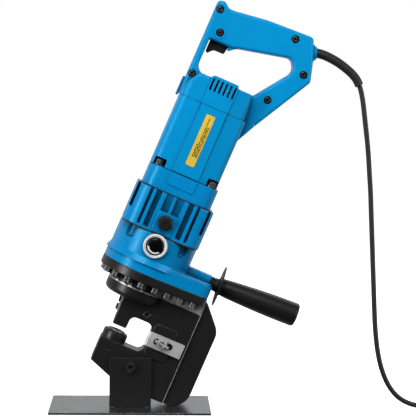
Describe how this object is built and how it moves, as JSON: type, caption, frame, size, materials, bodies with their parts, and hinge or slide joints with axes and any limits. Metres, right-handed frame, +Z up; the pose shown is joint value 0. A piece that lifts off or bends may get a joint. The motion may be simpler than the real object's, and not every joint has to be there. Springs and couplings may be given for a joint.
{
  "type": "electro-hydraulic hole punch",
  "caption": "Portable electro-hydraulic punch with C-shaped jaw head, pump, ribbed gear case, motor, D-handle, side grip and mains cord, leaning on a base plate stand.",
  "frame": {"origin": "bottom centre of the base plate", "axes": "+Z up, +X to the side towards which the tool leans and its side grip and cord point, -Y towards the front face with the sight glass and the gauge"},
  "size_m": [0.6258, 0.1888, 0.5592],
  "materials": {
    "base_steel": "semi-gloss grey enamel",
    "black_frame": "satin black paint over forged steel",
    "black_bracket": "satin black paint",
    "black_screw": "black oxide",
    "tool_steel": "dark hardened tool steel",
    "machined_steel": "ground steel",
    "bright_plate": "bright zinc plate",
    "blue_casting": "glossy blue enamel over die-cast aluminium",
    "blue_moulding": "glossy blue glass-filled nylon",
    "dark_blue": "dark blue moulded plastic",
    "black_rubber": "matt black rubber",
    "black_plastic": "satin black moulded plastic",
    "bezel_white": "polished ring",
    "lens_black": "dark oil behind a clear dome",
    "label_yellow": "printed label",
    "gasket_brown": "oiled paper gasket",
    "lamination": "laminated electrical steel",
    "copper": "copper bars",
    "brass": "drawn brass",
    "carbon": "carbon"
  },
  "bodies": {
    "tool": {"base_plate": "base_steel", "bracket_front": "black_bracket", "bracket_rear": "black_bracket", "bracket_screws": "black_screw", "c_frame": "black_frame", "die": "tool_steel", "die_set_screw": "black_screw", "stripper": "tool_steel", "jaw_plug_screw": "black_screw", "return_spring": "machined_steel", "access_plate": "bright_plate", "access_plate_screws": "black_screw", "flange_bolts": "black_screw", "pump_housing": "blue_casting", "pump_block": "machined_steel", "pump_plungers": "machined_steel", "shaft_bearings": "machined_steel", "oil_bladder": "black_rubber", "sight_glass_bezel": "bezel_white", "sight_glass_lens": "lens_black", "side_handle_stud": "machined_steel", "side_handle_guard": "black_plastic", "side_handle_grip": "black_plastic", "case_gasket": "gasket_brown", "gear_case": "blue_casting", "filler_plug": "black_plastic", "fan_housing": "blue_casting", "fan_housing_screws": "black_screw", "motor_housing": "blue_moulding", "spec_label": "label_yellow", "stator": "lamination", "motor_bearings": "machined_steel", "brush_holders": "brass", "brushes": "carbon", "handle_shell_front": "blue_moulding", "handle_shell_rear": "blue_moulding", "handle_screws": "black_screw", "side_badge": "dark_blue", "switch_body": "black_plastic", "strain_relief": "black_rubber", "power_cord": "black_rubber", "cord_coil": "black_rubber", "plug": "black_plastic"},
    "punch_unit": {"punch": "tool_steel", "punch_nut": "tool_steel", "piston": "machined_steel", "piston_seal": "black_rubber"},
    "gauge": {"gauge_plate": "bright_plate"},
    "gauge_screw": {"gauge_clamp_screw": "machined_steel"},
    "trigger_unit": {"trigger": "black_plastic"},
    "armature": {"armature_shaft": "machined_steel", "armature_core": "lamination", "commutator": "copper", "fan": "black_plastic", "pinion": "machined_steel"},
    "pump_shaft": {"eccentric_shaft": "machined_steel", "eccentric_bearing": "machined_steel", "drive_gear": "machined_steel"},
    "valve": {"release_valve": "black_screw"}
  },
  "joints": [
    {"name": "punch_stroke", "type": "slide", "parent": "tool", "child": "punch_unit", "axis": [-0.3907, 0, -0.9205], "range_m": [0, 0.014], "stiffness_N_per_m": 600, "springref_m": -0.03},
    {"name": "gauge_slide", "type": "slide", "parent": "tool", "child": "gauge", "axis": [0.9205, 0, -0.3907], "range_m": [-0.01, 0.007]},
    {"name": "gauge_screw_turn", "type": "hinge", "parent": "tool", "child": "gauge_screw", "pos_m": [0.04271, -0.025, 0.09053], "axis": [0, -1, 0], "range_deg": [0, 360]},
    {"name": "trigger_squeeze", "type": "slide", "parent": "tool", "child": "trigger_unit", "axis": [0.3907, 0, 0.9205], "range_m": [0, 0.006], "stiffness_N_per_m": 600, "springref_m": -0.008},
    {"name": "armature_spin", "type": "hinge", "parent": "tool", "child": "armature", "pos_m": [0.0861, 0, 0.35424], "axis": [0.3907, 0, 0.9205], "continuous": true},
    {"name": "pump_shaft_spin", "type": "hinge", "parent": "tool", "child": "pump_shaft", "pos_m": [0.06314, 0, 0.23362], "axis": [0.3907, 0, 0.9205], "continuous": true},
    {"name": "release_valve_turn", "type": "hinge", "parent": "tool", "child": "valve", "pos_m": [0.03061, 0.06, 0.22353], "axis": [0, 1, 0], "range_deg": [0, 270]}
  ],
  "couplings": [
    {"joint": "pump_shaft_spin", "follows": "armature_spin", "ratio": -0.3}
  ]
}
